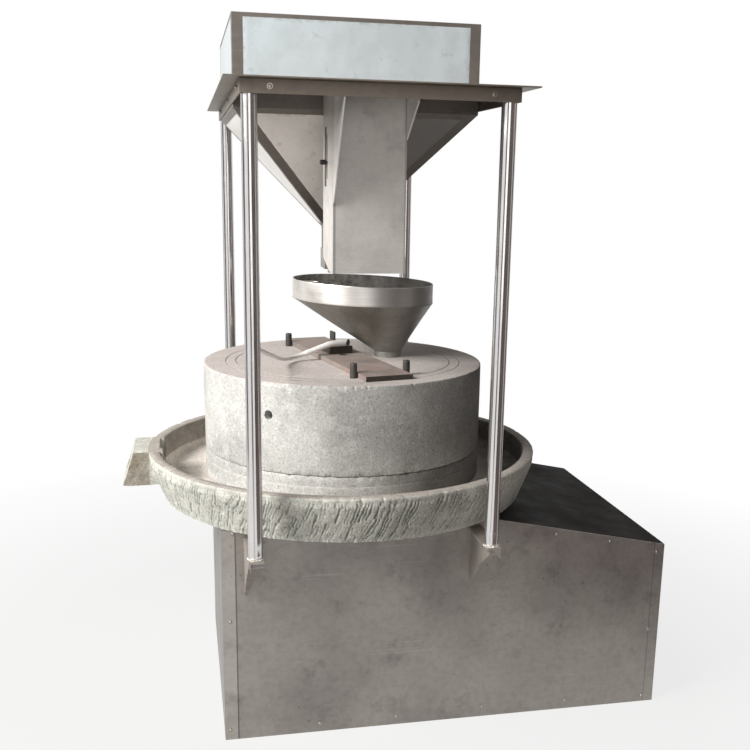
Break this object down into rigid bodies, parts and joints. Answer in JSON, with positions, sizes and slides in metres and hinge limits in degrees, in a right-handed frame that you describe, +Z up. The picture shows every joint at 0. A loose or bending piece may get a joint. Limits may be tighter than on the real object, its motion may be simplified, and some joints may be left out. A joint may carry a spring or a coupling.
{
  "type": "nut butter maker",
  "caption": "Electric stone mill: sheet cabinet, stone basin with spout, fixed upper and turning lower stone, funnel, and a hopper on posts.",
  "frame": {"origin": "on the floor under the turning axis of the stones, on the underside of the base plate", "axes": "+Z up, -Y towards the front panel, +X towards the motor end of the cabinet"},
  "size_m": [1.307, 1.048, 1.631],
  "materials": {
    "panel_steel": "satin, smeared",
    "hopper_steel": "filmed sheet",
    "bright_steel": "polished",
    "dark_steel": "dull",
    "frame_steel": "dull",
    "rusty_steel": "rusty edges",
    "cast_iron": "as cast",
    "motor_paint": "semi gloss",
    "rubber": "matt",
    "black_plastic": "glossy",
    "mill_stone": "fine dressed",
    "basin_stone": "chiselled"
  },
  "bodies": {
    "frame": {"base_plate": "panel_steel", "front_panel": "panel_steel", "rear_panel": "panel_steel", "left_panel": "panel_steel", "right_panel": "panel_steel", "top_plate": "panel_steel", "motor_cover": "dark_steel", "upright_front_left": "frame_steel", "upright_front_right": "frame_steel", "upright_rear_left": "frame_steel", "upright_rear_right": "frame_steel", "post_bracket_front_left": "panel_steel", "post_bracket_front_right": "panel_steel", "post_bracket_rear_left": "panel_steel", "post_bracket_rear_right": "panel_steel", "post_front_left": "bright_steel", "post_front_right": "bright_steel", "post_rear_left": "bright_steel", "post_rear_right": "bright_steel", "top_band": "frame_steel", "top_sheet": "frame_steel", "hopper": "hopper_steel", "gate_housing": "hopper_steel", "slot_strip": "bright_steel", "left_gusset": "hopper_steel", "right_gusset": "hopper_steel", "basin_floor": "basin_stone", "basin": "basin_stone", "upper_bearing": "cast_iron", "foot_bearing": "cast_iron", "drive_belt": "rubber", "motor_mount": "frame_steel", "gearbox": "motor_paint", "drive_motor": "motor_paint", "motor_fan_cover": "dark_steel", "terminal_box": "dark_steel"},
    "lower_stone": {"lower_stone": "mill_stone", "turntable": "cast_iron", "main_shaft": "bright_steel", "driven_pulley": "cast_iron", "scraper": "bright_steel"},
    "motor_pulley": {"motor_pulley": "cast_iron", "gearbox_shaft": "bright_steel"},
    "upper_stone": {"upper_stone": "mill_stone", "crossbar": "rusty_steel", "arm_block": "dark_steel", "peg_front_left": "rusty_steel", "peg_front_right": "rusty_steel", "peg_rear_left": "rusty_steel", "angle_clip": "rusty_steel", "arm_tube": "bright_steel", "arm_rod": "bright_steel", "funnel_cone": "dark_steel", "funnel_hoop": "bright_steel", "funnel_wire": "bright_steel"},
    "adjusting_screw": {"adjusting_screw": "dark_steel"},
    "feed_gate": {"choke_sleeve": "panel_steel", "gate_arm": "panel_steel", "gate_knob": "black_plastic"}
  },
  "joints": [
    {"name": "lower_stone_spin", "type": "hinge", "parent": "frame", "child": "lower_stone", "pos_m": [0, 0, 0.562], "axis": [0, 0, 1], "continuous": true},
    {"name": "motor_pulley_spin", "type": "hinge", "parent": "frame", "child": "motor_pulley", "pos_m": [0.56, 0, 0.225], "axis": [0, 0, 1], "continuous": true},
    {"name": "stone_lift", "type": "slide", "parent": "frame", "child": "upper_stone", "axis": [0, 0, 1], "range_m": [0, 0.005]},
    {"name": "adjusting_screw_turn", "type": "hinge", "parent": "frame", "child": "adjusting_screw", "pos_m": [0, 0, 0.8], "axis": [0, 0, 1], "range_deg": [-721, 0]},
    {"name": "gate_lift", "type": "slide", "parent": "frame", "child": "feed_gate", "axis": [0, 0, 1], "range_m": [-0.028, 0.05]}
  ],
  "couplings": [
    {"joint": "motor_pulley_spin", "follows": "lower_stone_spin", "ratio": 2.855},
    {"joint": "adjusting_screw_turn", "follows": "stone_lift", "rad_per_m": -2513.3}
  ]
}
